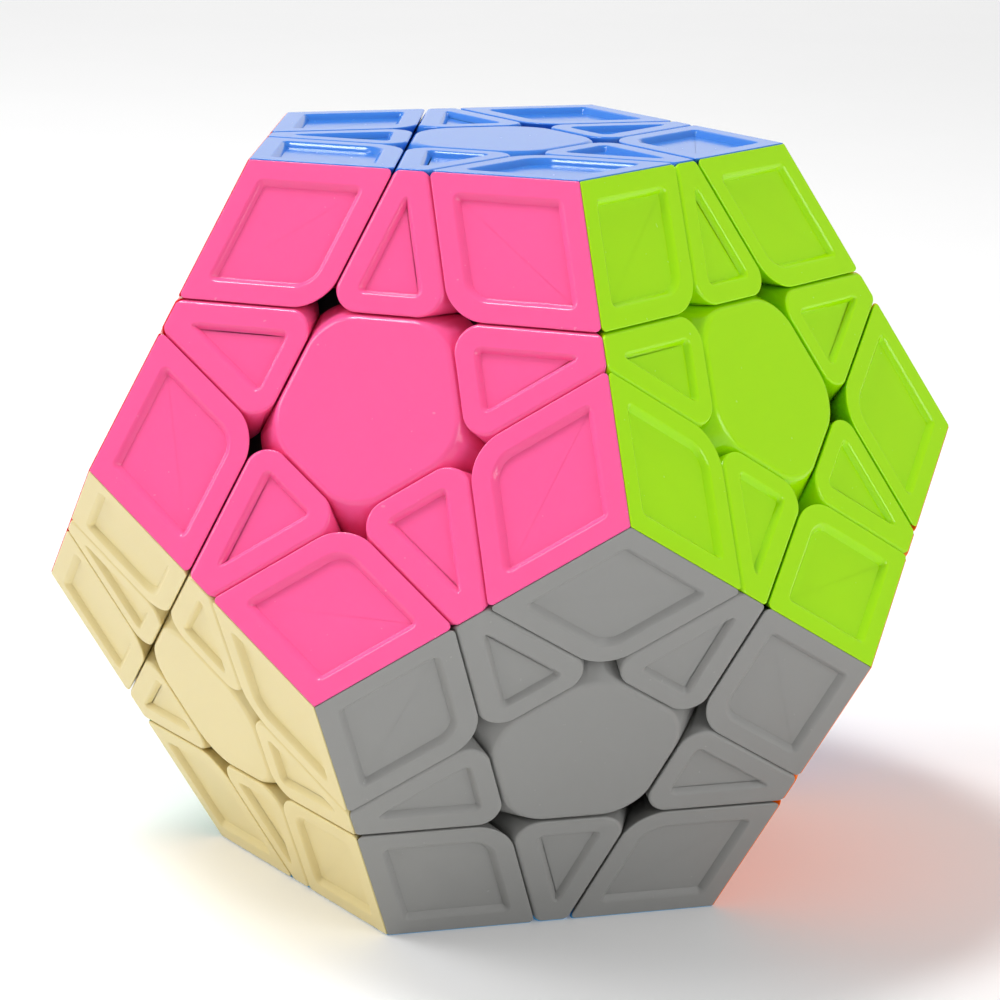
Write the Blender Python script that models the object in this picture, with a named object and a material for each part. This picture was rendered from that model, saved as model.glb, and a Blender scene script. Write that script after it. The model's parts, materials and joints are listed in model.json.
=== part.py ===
"""Dodecahedron twisty puzzle with one turning layer under each of its twelve faces.

The puzzle stands on its light blue face: the origin is the middle of that face and +Z is up.
Twenty corners and thirty edges hook their feet under twelve centres, which screw to a spider core.
Every cut between two pieces is part of a surface of revolution about a face's axis. Outside the
foot sphere that surface is a plane, and inside it is a cone, so a layer turns past its neighbours.

Three layers that share no piece turn here, blue, grey and purple. Their centres are split into
cap, base and screw. The other nine centres are one body with the core that they are screwed to.
"""
import math
from itertools import combinations

import bmesh
import bpy
from mathutils import Matrix, Vector

# Overall sizes, in metres
FACE_TO_FACE = 0.070            # from a face to the opposite face
EDGE_TILE_WIDTH = 0.0030        # an edge tile, where its two faces meet
PIECE_GAP = 0.0003              # between neighbouring pieces

# Tiles
CORNER_ROUND = 0.0045           # inner corner of a corner tile
EDGE_ROUND = 0.0017             # inner corners of an edge tile
CENTRE_ROUND = 0.0050           # corners of a centre
FRAME_WIDTH = 0.0019            # raised frame around a sunken panel
PANEL_DEPTH = 0.0005

# Feet, which run under the centres
FOOT_HEIGHT = 0.0115
CONE_ANGLE = math.radians(50)   # half-angle of the cone that a layer's feet turn in
NECK_MARGIN = 0.0001            # a neck inside the narrowest cut around it
CORNER_NECK_HEIGHT = 0.0040
DOME_ANGLE = math.radians(7)    # ring of points that rounds the top of a foot

# Centres
CAP_THICKNESS = 0.0021
PLUG_RADIUS = 0.0026
PLUG_LENGTH = 0.0025
PLATE_THICKNESS = 0.00075       # base under the cap, which the feet pass beneath
STEM_CLEARANCE = math.radians(0.8)
STEM_DROP = 0.0020              # a stem's lower end below the inner ends of the feet
STEM_FLOOR = 0.0025
STEM_BORE_RADIUS = 0.0030

# Core and screws
BALL_RADIUS = 0.0090
BALL_TURN = math.radians(11)    # keeps the ball's facets off the arms' axes
ARM_RADIUS = 0.0032
SCREW_RADIUS = 0.0012
SCREW_HEAD_RADIUS = 0.0026
SCREW_HEAD_HEIGHT = 0.0023
SCREW_ENGAGEMENT = 0.0076       # length of thread inside an arm
SPRING_SPACE = 0.0055           # between a stem's floor and the screw head
HOLE_CLEARANCE = 0.0004         # around a screw, on the radius
RUNNING_CLEARANCE = 0.0004      # between a stem and its arm

ROUND_SEGMENTS = 3
TURNED_SIDES = 12
HALF_SIDE = math.pi / TURNED_SIDES   # turns an arm's flats against its stem's
SLIVER = 1e-7                   # distance under which points count as one
OVERCUT = 0.0010                # a cutter beyond the surface that it cuts

# Regular dodecahedron
COS_TILT = 1 / math.sqrt(5)     # between two neighbouring faces' normals
SIN_TILT = 2 / math.sqrt(5)
TILT = math.acos(COS_TILT)
FIFTH = math.radians(72)
FACE_TO_EDGE = TILT / 2         # angle from a face's axis to an edge's middle
RING_ELEVATION = math.pi / 2 - TILT

# Driven sizes
INRADIUS = FACE_TO_FACE / 2
FACE_INRADIUS = INRADIUS * (1 - COS_TILT) / SIN_TILT
EDGE_LENGTH = 2 * FACE_INRADIUS * math.tan(FIFTH / 2)
TILE_DEPTH = (EDGE_LENGTH - EDGE_TILE_WIDTH) / 2 * math.sin(FIFTH)
CUT_DISTANCE = INRADIUS - TILE_DEPTH * SIN_TILT
HALF_GAP = PIECE_GAP / 2
CAP_BOTTOM = INRADIUS - CAP_THICKNESS
BASE_TOP = CAP_BOTTOM - PIECE_GAP
SHELL_BOTTOM = BASE_TOP - PLATE_THICKNESS
FOOT_SPHERE = SHELL_BOTTOM - HALF_GAP - NECK_MARGIN
FOOT_TOP = FOOT_SPHERE - HALF_GAP
FOOT_BOTTOM = FOOT_SPHERE - FOOT_HEIGHT
GAP_ANGLE = HALF_GAP / FOOT_BOTTOM
FOOT_CONE = CONE_ANGLE - GAP_ANGLE
STEM_BOTTOM = FOOT_BOTTOM - STEM_DROP
ARM_TOP = STEM_BOTTOM - RUNNING_CLEARANCE
FLOOR_TOP = STEM_BOTTOM + STEM_FLOOR
HEAD_BOTTOM = FLOOR_TOP + SPRING_SPACE
SCREW_END = ARM_TOP - SCREW_ENGAGEMENT
STEM_SLOPE = math.tan(TILT - CONE_ANGLE - STEM_CLEARANCE)
TILE_LOW = FACE_INRADIUS - TILE_DEPTH + HALF_GAP / SIN_TILT    # cut line that a tile ends at

TURNING = ("blue", "grey", "purple")
UPPER_RING = ("pink", "lime", "yellow", "white", "red")
LOWER_RING = ("grey", "orange", "purple", "green", "cream")
COLOURS = {
    "blue": (0.12, 0.33, 0.80), "pink": (0.95, 0.13, 0.38), "lime": (0.37, 0.71, 0.01),
    "yellow": (0.95, 0.75, 0.02), "white": (0.85, 0.85, 0.83), "red": (0.75, 0.02, 0.02),
    "grey": (0.29, 0.28, 0.27), "orange": (0.95, 0.25, 0.02), "purple": (0.25, 0.05, 0.45),
    "green": (0.01, 0.25, 0.06), "cream": (0.83, 0.70, 0.36), "lightblue": (0.25, 0.62, 0.85),
}


def direction(azimuth, elevation):
    """Unit vector at an azimuth about +Z and an elevation above the horizon."""
    level = math.cos(elevation)
    return Vector((level * math.cos(azimuth), level * math.sin(azimuth), math.sin(elevation)))


def face_normals():
    """Outward normal of each face, by its colour."""
    normals = {"blue": Vector((0, 0, 1)), "lightblue": Vector((0, 0, -1))}
    for number, colour in enumerate(UPPER_RING):
        normals[colour] = direction(number * FIFTH - math.pi / 2, RING_ELEVATION)
    for number, colour in enumerate(LOWER_RING):
        normals[colour] = direction((number + 0.5) * FIFTH - math.pi / 2, -RING_ELEVATION)
    return normals


NORMALS = face_normals()


def neighbours(first, second):
    return NORMALS[first].dot(NORMALS[second]) > COS_TILT / 2


def along(face, towards):
    """Unit vector in a face's plane, from its middle square to the edge it shares."""
    return (towards - face * face.dot(towards)).normalized()


UP = Vector((0, 0, 1))

# Directions of the first corner of the puzzle
CORNER_FACES = ("blue", "pink", "lime")
CORNER_NORMALS = [NORMALS[colour] for colour in CORNER_FACES]
CORNER_AXIS = sum(CORNER_NORMALS, Vector()).normalized()
FACE_TO_CORNER = CORNER_AXIS.angle(CORNER_NORMALS[0])


# ---------------------------------------------------------------- mesh helpers

def block(half_spaces):
    """What planes leave of a large cube: each plane is an outward normal and its distance."""
    mesh = bmesh.new()
    bmesh.ops.create_cube(mesh, size=4 * FACE_TO_FACE)
    for normal, distance in half_spaces:
        everything = mesh.verts[:] + mesh.edges[:] + mesh.faces[:]
        cut = bmesh.ops.bisect_plane(mesh, geom=everything, dist=SLIVER, clear_outer=True,
                                     plane_co=normal * distance, plane_no=normal)
        rim = [item for item in cut["geom_cut"] if isinstance(item, bmesh.types.BMEdge)]
        bmesh.ops.holes_fill(mesh, edges=rim, sides=0)
    bmesh.ops.recalc_face_normals(mesh, faces=mesh.faces[:])
    return mesh


def round_ridges(mesh, pairs, radius):
    """Round the edges where faces with these pairs of outward normals meet."""
    ridges = []
    for edge in mesh.edges:
        one, other = (face.normal for face in edge.link_faces)
        for first, second in pairs:
            straight = one.dot(first) + other.dot(second)
            crossed = one.dot(second) + other.dot(first)
            if max(straight, crossed) > 2 - 1e-5:
                ridges.append(edge)
                break
    turn = pairs[0][0].angle(pairs[0][1])
    bmesh.ops.bevel(mesh, geom=ridges, offset=radius * math.tan(turn / 2), offset_type="OFFSET",
                    segments=ROUND_SEGMENTS, profile=0.5, affect="EDGES", clamp_overlap=True)


def hull(points):
    """Convex solid around points."""
    mesh = bmesh.new()
    for point in points:
        mesh.verts.new(point)
    result = bmesh.ops.convex_hull(mesh, input=mesh.verts[:])
    spare = [item for item in result["geom_interior"] if isinstance(item, bmesh.types.BMVert)]
    bmesh.ops.delete(mesh, geom=spare, context="VERTS")
    bmesh.ops.dissolve_limit(mesh, angle_limit=math.radians(1), verts=mesh.verts[:],
                             edges=mesh.edges[:])
    bmesh.ops.recalc_face_normals(mesh, faces=mesh.faces[:])
    return mesh


def turned(profile):
    """Solid turned about Z from (radius, height) points, whose ends lie on the axis."""
    mesh = bmesh.new()
    points = [mesh.verts.new((radius, 0, height)) for radius, height in profile]
    edges = [mesh.edges.new(pair) for pair in zip(points, points[1:])]
    bmesh.ops.spin(mesh, geom=points + edges, cent=(0, 0, 0), axis=(0, 0, 1),
                   angle=2 * math.pi, steps=TURNED_SIDES, use_merge=True)
    bmesh.ops.remove_doubles(mesh, verts=mesh.verts[:], dist=SLIVER)
    bmesh.ops.recalc_face_normals(mesh, faces=mesh.faces[:])
    return mesh


def temporary(mesh, turn, collection):
    """Object that only lasts while a master piece is made."""
    data = bpy.data.meshes.new("temporary")
    mesh.to_mesh(data)
    result = bpy.data.objects.new("temporary", data)
    result.matrix_world = turn.to_4x4()
    result.hide_render = True
    result.display_type = "WIRE"
    collection.objects.link(result)
    return result


def combined(name, base, added=(), removed=()):
    """One mesh: a base with other bodies added to it, and then bodies cut out of it.

    A body is a mesh, or a mesh and the turn that takes it to its place.
    """
    scene = bpy.context.scene.collection
    master = temporary(base, Matrix.Identity(3), scene)
    spent = [master]
    for operation, bodies in (("UNION", added), ("DIFFERENCE", removed)):
        if not bodies:
            continue
        tools = bpy.data.collections.new(operation)
        scene.children.link(tools)
        for body in bodies:
            mesh, turn = body if isinstance(body, tuple) else (body, Matrix.Identity(3))
            spent.append(temporary(mesh, turn, tools))
        modifier = master.modifiers.new(operation, "BOOLEAN")
        modifier.operation = operation
        modifier.operand_type = "COLLECTION"
        modifier.collection = tools
        modifier.solver = "EXACT"
    graph = bpy.context.evaluated_depsgraph_get()
    result = bpy.data.meshes.new_from_object(master.evaluated_get(graph))
    result.name = name
    for old in spent:
        bpy.data.objects.remove(old, do_unlink=True)
    for tools in list(scene.children):
        bpy.data.collections.remove(tools)
    return result


def solid(data):
    """Editable copy of a finished mesh, in triangles, which stay flat when they are turned."""
    mesh = bmesh.new()
    mesh.from_mesh(data)
    bmesh.ops.triangulate(mesh, faces=mesh.faces[:])
    return mesh


def colour_by(mesh, directions):
    """Give each polygon the slot of the direction that it lies closest to."""
    for polygon in mesh.polygons:
        nearness = [polygon.center.dot(normal) for normal in directions]
        polygon.material_index = nearness.index(max(nearness))


# ------------------------------------------------------------------ the pieces

def panel(face, sides):
    """Cutter for a sunken panel in a face, with sides given in the plane of the face."""
    return block(sides + [(face, INRADIUS + OVERCUT), (-face, PANEL_DEPTH - INRADIUS)])


def corner_panel(face, others):
    """Cutter a frame's width inside a corner's tile, round where the two cuts meet."""
    sides = []
    for other in others:
        outward = along(face, other)
        sides += [(outward, FACE_INRADIUS - FRAME_WIDTH), (-outward, -TILE_LOW - FRAME_WIDTH)]
    mesh = panel(face, sides)
    round_ridges(mesh, [[-along(face, other) for other in others]], CORNER_ROUND - FRAME_WIDTH)
    return mesh


def edge_panel(face, other):
    """Cutter for the triangle in an edge's tile, with its tip towards the other face."""
    flank = FACE_INRADIUS - TILE_DEPTH - HALF_GAP / SIN_TILT - FRAME_WIDTH
    outward = along(face, other)
    sides = [(along(face, end), flank) for end in END_NORMALS]
    return panel(face, sides + [(-outward, -TILE_LOW - FRAME_WIDTH),
                                (outward, FACE_INRADIUS - FRAME_WIDTH / 2)])


def corner_foot():
    """Foot of a corner: three flat sides inside the cones of its three layers."""
    reach = math.hypot(math.cos(FACE_TO_CORNER), math.sin(FACE_TO_CORNER) / 2)
    lean = math.atan2(math.sin(FACE_TO_CORNER) / 2, math.cos(FACE_TO_CORNER))
    spread = math.acos(math.cos(FOOT_CONE) / reach) - lean
    points = [CORNER_AXIS * FOOT_TOP]
    for normal in CORNER_NORMALS:
        outward = along(CORNER_AXIS, normal)
        tip = CORNER_AXIS * math.cos(spread) + outward * math.sin(spread)
        dome = CORNER_AXIS * math.cos(DOME_ANGLE) + outward * math.sin(DOME_ANGLE)
        waist = CORNER_AXIS * math.cos(DOME_ANGLE) - outward * math.sin(DOME_ANGLE)
        points += [tip * FOOT_TOP, tip * FOOT_BOTTOM, dome * FOOT_TOP, waist * FOOT_TOP]
    return hull(points)


def corner_neck():
    """Round neck in the tip where a corner's three cuts meet."""
    slope = 1 / math.tan(FACE_TO_CORNER)
    tip = (CUT_DISTANCE + HALF_GAP + NECK_MARGIN) / math.cos(FACE_TO_CORNER)
    top = tip + CORNER_NECK_HEIGHT
    neck = turned([(0, top), (slope * CORNER_NECK_HEIGHT, top), (0, tip)])
    return neck, UP.rotation_difference(CORNER_AXIS).to_matrix()


def corner_mesh():
    """Corner with a sunken panel on each of its three tiles, and a foot."""
    sides = []
    ridges = []
    for normal in CORNER_NORMALS:
        sides += [(normal, INRADIUS), (-normal, -CUT_DISTANCE - HALF_GAP)]
    for first, second in combinations(CORNER_NORMALS, 2):
        ridges.append((-first, -second))
    shell = block(sides)
    round_ridges(shell, ridges, CORNER_ROUND)
    panels = []
    for face in CORNER_NORMALS:
        others = [normal for normal in CORNER_NORMALS if normal is not face]
        panels.append(corner_panel(face, others))
    mesh = combined("corner", shell, added=[corner_foot(), corner_neck()], removed=panels)
    colour_by(mesh, CORNER_NORMALS)
    return mesh


EDGE_FACES = ("blue", "pink")
EDGE_NORMALS = [NORMALS[colour] for colour in EDGE_FACES]
END_NORMALS = [NORMALS[colour] for colour in ("lime", "red")]
EDGE_AXIS = sum(EDGE_NORMALS, Vector()).normalized()
FACE_TO_END = EDGE_AXIS.angle(END_NORMALS[0])


def edge_foot():
    """Foot and neck of an edge: long ways it reaches towards its two centres."""
    across = along(EDGE_AXIS, EDGE_NORMALS[0])
    lengthwise = along(EDGE_AXIS, END_NORMALS[0])
    width = math.tan(FACE_TO_END - CONE_ANGLE - GAP_ANGLE)
    cosine, sine = math.cos(FACE_TO_EDGE), math.sin(FACE_TO_EDGE)
    square = sine ** 2 - math.cos(FOOT_CONE) ** 2
    rest = cosine ** 2 - math.cos(FOOT_CONE) ** 2 * (1 + width ** 2)
    root = math.sqrt((cosine * sine) ** 2 - square * rest)
    reach = (cosine * sine - root) / square
    points = [EDGE_AXIS * FOOT_TOP]
    for side in (-1, 1):
        dome = EDGE_AXIS + across * side * math.tan(DOME_ANGLE)
        points.append(dome.normalized() * FOOT_TOP)
        for end in (-1, 1):
            tip = (EDGE_AXIS + across * side * reach + lengthwise * end * width).normalized()
            points += [tip * FOOT_TOP, tip * FOOT_BOTTOM]
    low = FOOT_TOP - NECK_MARGIN
    half_across = (low * cosine - CUT_DISTANCE - HALF_GAP) / sine - NECK_MARGIN
    taper = math.atan(width)
    neck_sides = [(EDGE_AXIS, SHELL_BOTTOM + FRAME_WIDTH), (-EDGE_AXIS, FOOT_HEIGHT / 2 - low)]
    for side in (-1, 1):
        flank = lengthwise * side * math.cos(taper) - EDGE_AXIS * math.sin(taper)
        neck_sides += [(across * side, half_across), (flank, -NECK_MARGIN)]
    return hull(points), block(neck_sides)


def edge_mesh():
    """Edge with a sunken triangular panel on each of its two tiles, a neck and a foot."""
    sides = [(-EDGE_AXIS, -SHELL_BOTTOM)]
    ridges = []
    for normal in EDGE_NORMALS:
        sides += [(normal, INRADIUS), (-normal, -CUT_DISTANCE - HALF_GAP)]
        ridges += [(-normal, end) for end in END_NORMALS]
    sides += [(end, CUT_DISTANCE - HALF_GAP) for end in END_NORMALS]
    shell = block(sides)
    round_ridges(shell, ridges, EDGE_ROUND)
    panels = [edge_panel(*EDGE_NORMALS), edge_panel(*EDGE_NORMALS[::-1])]
    mesh = combined("edge", shell, added=edge_foot(), removed=panels)
    colour_by(mesh, EDGE_NORMALS)
    return mesh


def centre_block(low, high):
    """Slice of a centre between two heights above the core: a rounded pentagon that widens down."""
    walls = [direction(number * FIFTH, RING_ELEVATION) for number in range(5)]
    mesh = block([(wall, CUT_DISTANCE - HALF_GAP) for wall in walls] + [(UP, high), (-UP, -low)])
    round_ridges(mesh, list(zip(walls, walls[1:] + walls[:1])), CENTRE_ROUND)
    return mesh


def stem(low, high):
    """Cone under a centre, between two heights."""
    return turned([(0, high), (STEM_SLOPE * high, high), (STEM_SLOPE * low, low), (0, low)])


def cylinder(radius, low, high):
    return turned([(0, high), (radius, high), (radius, low), (0, low)])


def cap_mesh():
    """Coloured cap, with a plug that seats in the bore of the base."""
    plug = cylinder(PLUG_RADIUS, CAP_BOTTOM - PLUG_LENGTH, CAP_BOTTOM + CAP_THICKNESS / 2)
    return combined("centre_cap", centre_block(CAP_BOTTOM, INRADIUS), added=[plug])


def base_mesh():
    """Base: plate and stem, bored from above for screw and spring, with a hole in its floor."""
    overlap = SHELL_BOTTOM + (BASE_TOP - SHELL_BOTTOM) / 2
    bore = cylinder(STEM_BORE_RADIUS, FLOOR_TOP, BASE_TOP + OVERCUT)
    hole = cylinder(SCREW_RADIUS + HOLE_CLEARANCE, STEM_BOTTOM - OVERCUT, FLOOR_TOP + OVERCUT)
    return combined("centre_base", centre_block(SHELL_BOTTOM, BASE_TOP),
                    added=[stem(STEM_BOTTOM, overlap)], removed=[bore, hole])


def screw_mesh():
    """Pan-head screw, whose thread is its plain outer cylinder."""
    head_top = HEAD_BOTTOM + SCREW_HEAD_HEIGHT
    mesh = turned([(0, head_top), (SCREW_HEAD_RADIUS * 0.8, head_top),
                   (SCREW_HEAD_RADIUS, head_top - SCREW_HEAD_HEIGHT * 0.3),
                   (SCREW_HEAD_RADIUS, HEAD_BOTTOM), (SCREW_RADIUS, HEAD_BOTTOM),
                   (SCREW_RADIUS, SCREW_END + SCREW_RADIUS), (0, SCREW_END)])
    return combined("centre_screw", mesh)


def spider_mesh():
    """Ball with twelve arms, of which the three for the turning centres are bored for screws."""
    ball = bmesh.new()
    bmesh.ops.create_icosphere(ball, subdivisions=2, radius=BALL_RADIUS,
                               matrix=Matrix.Rotation(BALL_TURN, 4, (1, 2, 0)))
    root = ARM_RADIUS / math.tan(FACE_TO_EDGE) + PIECE_GAP
    arm = cylinder(ARM_RADIUS, root, ARM_TOP)
    joined_arm = cylinder(ARM_RADIUS, root, STEM_BOTTOM + STEM_FLOOR)
    bore = cylinder(SCREW_RADIUS + HOLE_CLEARANCE, SCREW_END - HOLE_CLEARANCE, ARM_TOP + OVERCUT)
    arms = []
    for colour in COLOURS:
        length = arm if colour in TURNING else joined_arm
        arms.append((length, face_turn(colour) @ Matrix.Rotation(HALF_SIDE, 3, "Z")))
    bores = [(bore, face_turn(colour)) for colour in TURNING]
    return combined("spider", ball, added=arms, removed=bores)


def core_mesh():
    """Spider with the nine centres that do not turn here."""
    centre = solid(combined("joined_centre", centre_block(SHELL_BOTTOM, INRADIUS),
                            added=[stem(STEM_BOTTOM, INRADIUS - CAP_THICKNESS)]))
    joined = [(centre, face_turn(colour)) for colour in COLOURS if colour not in TURNING]
    return combined("core", solid(spider_mesh()), added=joined)


# ------------------------------------------------------------------- placement

def face_turn(colour):
    """Turn that takes +Z to a face's axis, and +X towards one of its neighbours."""
    axis = NORMALS[colour]
    neighbour = next(other for other in COLOURS if other != colour and neighbours(colour, other))
    side = along(axis, NORMALS[neighbour])
    return Matrix((side, axis.cross(side), axis)).transposed()


def piece_turn(master, own):
    """Turn that takes three master directions to a piece's own three directions."""
    return Matrix(own).transposed() @ Matrix(master).transposed().inverted()


def right_handed(colours):
    """The same three faces, in the order that goes round their corner counter-clockwise."""
    first, second, third = (NORMALS[colour] for colour in colours)
    if first.cross(second).dot(third) > 0:
        return colours
    return (colours[0], colours[2], colours[1])


def plastic(name, colour, roughness=0.3, metallic=0.0):
    material = bpy.data.materials.new(name)
    material.use_nodes = True
    shader = material.node_tree.nodes["Principled BSDF"]
    shader.inputs["Base Color"].default_value = (*colour, 1)
    shader.inputs["Roughness"].default_value = roughness
    shader.inputs["Metallic"].default_value = metallic
    return material


def place(name, mesh, turn, parent, materials):
    """Object for one piece, turned into its place about the puzzle's centre."""
    piece = bpy.data.objects.new(name, mesh)
    bpy.context.scene.collection.objects.link(piece)
    piece.parent = parent
    piece.matrix_local = parent.matrix_local.to_3x3().inverted().to_4x4() @ turn.to_4x4()
    while len(mesh.materials) < len(materials):
        mesh.materials.append(materials[0])
    for slot, material in zip(piece.material_slots, materials):
        slot.link = "OBJECT"
        slot.material = material
    return piece


def pivot(name, turn, location=(0, 0, 0), parent=None):
    """Empty that a group of pieces turns with."""
    empty = bpy.data.objects.new(name, None)
    bpy.context.scene.collection.objects.link(empty)
    empty.parent = parent
    empty.matrix_local = Matrix.Translation(location) @ turn.to_4x4()
    return empty


def main():
    for old in list(bpy.data.objects):
        bpy.data.objects.remove(old, do_unlink=True)
    skins = {colour: plastic(colour + "_plastic", value) for colour, value in COLOURS.items()}
    black = plastic("core_plastic", (0.02, 0.02, 0.02), roughness=0.5)
    steel = plastic("screw_steel", (0.6, 0.6, 0.6), roughness=0.3, metallic=1.0)
    identity = Matrix.Identity(3)

    centre = pivot("puzzle_centre", identity, location=(0, 0, INRADIUS))
    pivots = {colour: pivot(colour + "_layer", face_turn(colour), parent=centre)
              for colour in TURNING}

    def carrier(colours):
        """Empty of the layer that holds a piece, or the puzzle's centre."""
        return next((pivots[colour] for colour in colours if colour in TURNING), centre)

    corner = corner_mesh()
    for triple in combinations(COLOURS, 3):
        if all(neighbours(*pair) for pair in combinations(triple, 2)):
            ordered = right_handed(triple)
            turn = piece_turn([NORMALS[colour] for colour in right_handed(CORNER_FACES)],
                              [NORMALS[colour] for colour in ordered])
            place("corner_" + "_".join(triple), corner, turn, carrier(triple),
                  [skins[colour] for colour in ordered])

    edge = edge_mesh()
    master = EDGE_NORMALS + [EDGE_NORMALS[0].cross(EDGE_NORMALS[1])]
    for pair in combinations(COLOURS, 2):
        if neighbours(*pair):
            own = [NORMALS[colour] for colour in pair]
            turn = piece_turn(master, own + [own[0].cross(own[1])])
            place("edge_" + "_".join(pair), edge, turn, carrier(pair),
                  [skins[colour] for colour in pair])

    cap, base, screw = cap_mesh(), base_mesh(), screw_mesh()
    for colour in TURNING:
        turn = face_turn(colour)
        place("centre_cap_" + colour, cap, turn, pivots[colour], [skins[colour]])
        place("centre_base_" + colour, base, turn, pivots[colour], [skins[colour]])
        place("screw_" + colour, screw, turn, centre, [steel])
    place("core", core_mesh(), identity, centre, [black])


main()
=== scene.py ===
# %% [markdown]
# # A dodecahedron twisty puzzle
# The puzzle has twelve coloured faces. Each face carries one fixed centre, five corner tiles and
# five edge tiles, and a layer of pieces turns under it. A corner piece is three coloured mouldings
# and a foot, and an edge piece is two mouldings and a foot. The centres screw down on a spider of
# arms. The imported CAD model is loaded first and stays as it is. The pieces modelled here stand for
# its nodes.

# %% Load the CAD frame
import json
import math

import bmesh
import bpy
from mathutils import Matrix, Vector


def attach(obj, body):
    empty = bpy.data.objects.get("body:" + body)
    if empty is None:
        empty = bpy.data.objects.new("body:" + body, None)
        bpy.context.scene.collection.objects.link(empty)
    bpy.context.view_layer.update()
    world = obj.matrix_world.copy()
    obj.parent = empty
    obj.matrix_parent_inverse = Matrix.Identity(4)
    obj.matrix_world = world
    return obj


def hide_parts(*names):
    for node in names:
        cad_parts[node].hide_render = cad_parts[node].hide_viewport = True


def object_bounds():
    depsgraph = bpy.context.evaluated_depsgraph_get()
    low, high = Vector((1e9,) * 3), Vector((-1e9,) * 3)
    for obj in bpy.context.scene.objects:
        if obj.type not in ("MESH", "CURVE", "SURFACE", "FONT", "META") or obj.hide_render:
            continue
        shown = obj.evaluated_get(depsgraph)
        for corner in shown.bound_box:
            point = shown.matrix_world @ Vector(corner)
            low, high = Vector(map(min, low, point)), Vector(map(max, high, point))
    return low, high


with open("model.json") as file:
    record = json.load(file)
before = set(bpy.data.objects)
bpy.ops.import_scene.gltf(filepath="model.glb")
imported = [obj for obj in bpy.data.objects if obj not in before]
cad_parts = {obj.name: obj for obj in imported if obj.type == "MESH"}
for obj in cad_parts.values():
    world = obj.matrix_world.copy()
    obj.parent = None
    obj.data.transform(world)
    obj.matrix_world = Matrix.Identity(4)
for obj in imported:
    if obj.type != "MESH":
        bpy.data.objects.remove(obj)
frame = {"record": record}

cad_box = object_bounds()
cad_size = [round((high - low) * 1000, 2) for low, high in zip(*cad_box)]
print("CAD box in mm:", cad_size)

# %% [markdown]
# ## Sizes
# A dodecahedron has one size that drives the rest, the distance between opposite faces. It is the
# height of the CAD box, because the puzzle stands on a face. The cuts between layers lie at the
# same distance under every face, so the tiles follow from that distance and from the gap.

# %% Sizes of the puzzle
MM = 0.001
INRADIUS = (cad_box[1][2] - cad_box[0][2]) / 2
PUZZLE_MIDDLE = Vector((0, 0, cad_box[0][2] + INRADIUS))
EDGE_TILE_WIDTH = 3.0 * MM          # an edge tile where two faces meet
GAP = 0.30 * MM                     # between neighbouring pieces, inside
OPENING = 0.20 * MM                 # between neighbouring tiles, at the surface
SEAM = 0.02 * MM                    # between the mouldings of one piece

COS_TILT = 1 / math.sqrt(5)         # between the normals of two faces that share an edge
SIN_TILT = 2 / math.sqrt(5)
TILT = math.acos(COS_TILT)
FIFTH = math.radians(72)
FACE_INRADIUS = INRADIUS * (1 - COS_TILT) / SIN_TILT
EDGE_LENGTH = 2 * FACE_INRADIUS * math.tan(FIFTH / 2)
TILE_DEPTH = (EDGE_LENGTH - EDGE_TILE_WIDTH) / 2 * math.sin(FIFTH)
CUT = INRADIUS - TILE_DEPTH * SIN_TILT
OUTER_CUT = CUT + OPENING / 2       # side of the cut that edges and corners stay beyond
INNER_CUT = CUT - OPENING / 2       # side of the cut that centres stay within
TILE_LOW = FACE_INRADIUS - TILE_DEPTH + OPENING / 2 / SIN_TILT
TIGHT = 0.004 * MM                  # each side of a cut, where pieces come closest below
DRAFT_DEPTH = 1.2 * MM              # down to where a gap narrows
UP = Vector((0, 0, 1))
print(f"edge {EDGE_LENGTH / MM:.1f} mm, cut at {CUT / MM:.2f} mm, "
      f"tile {TILE_DEPTH / MM:.2f} mm deep")

# %% Colours of the twelve faces and the way each one points
UPPER_RING = ("pink", "lime", "yellow", "white", "red")
LOWER_RING = ("grey", "orange", "purple", "green", "cream")
COLOURS = ("blue", *UPPER_RING, *LOWER_RING, "lightblue")


def pointing(azimuth, elevation):
    """Unit vector at an azimuth about the upright axis and an elevation above level."""
    level = math.cos(elevation)
    return Vector((level * math.cos(azimuth), level * math.sin(azimuth), math.sin(elevation)))


NORMALS = {"blue": UP, "lightblue": -UP}
for number in range(5):
    NORMALS[UPPER_RING[number]] = pointing(number * FIFTH - math.pi / 2, math.pi / 2 - TILT)
    NORMALS[LOWER_RING[number]] = pointing((number + 0.5) * FIFTH - math.pi / 2, TILT - math.pi / 2)


def towards(axis, other):
    """Unit vector square to an axis, on the side of another direction."""
    return (other - axis * axis.dot(other)).normalized()


def turn_to(axis, other):
    """Turn that takes up to an axis and +X to the side of another direction."""
    side = towards(axis, other)
    return Matrix((side, axis.cross(side), axis)).transposed()


def colour_at(normal):
    """Colour of the face that points most nearly this way."""
    return max(COLOURS, key=lambda colour: NORMALS[colour].dot(normal))


print("faces:", ", ".join(COLOURS))

# %% [markdown]
# ## Tools for modelling
# Every master piece is modelled with its face level and upwards, about the middle of the puzzle,
# where its sizes are easy to write. A piece starts as a primitive that is larger than it needs to
# be. The operators act on whatever is selected, and the CAD nodes are selected when they load, so
# the selection is cleared before anything is added.

# %% Starting a piece
FINE = 1e-7                         # nearer than this counts as touching
BLOCK_SIZE = 200 * MM               # larger than the puzzle, to be sliced
MERGE_DISTANCE = 0.003 * MM
SMOOTH_ANGLE = 40
ROUND_SEGMENTS = 12


def leave_all():
    """Go to object mode with nothing selected."""
    if bpy.context.mode != "OBJECT":
        bpy.ops.object.mode_set(mode="OBJECT")
    bpy.ops.object.select_all(action="DESELECT")


def only(piece):
    """Make one piece the selected and active one, in object mode."""
    leave_all()
    piece.select_set(True)
    bpy.context.view_layer.objects.active = piece
    return piece


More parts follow.
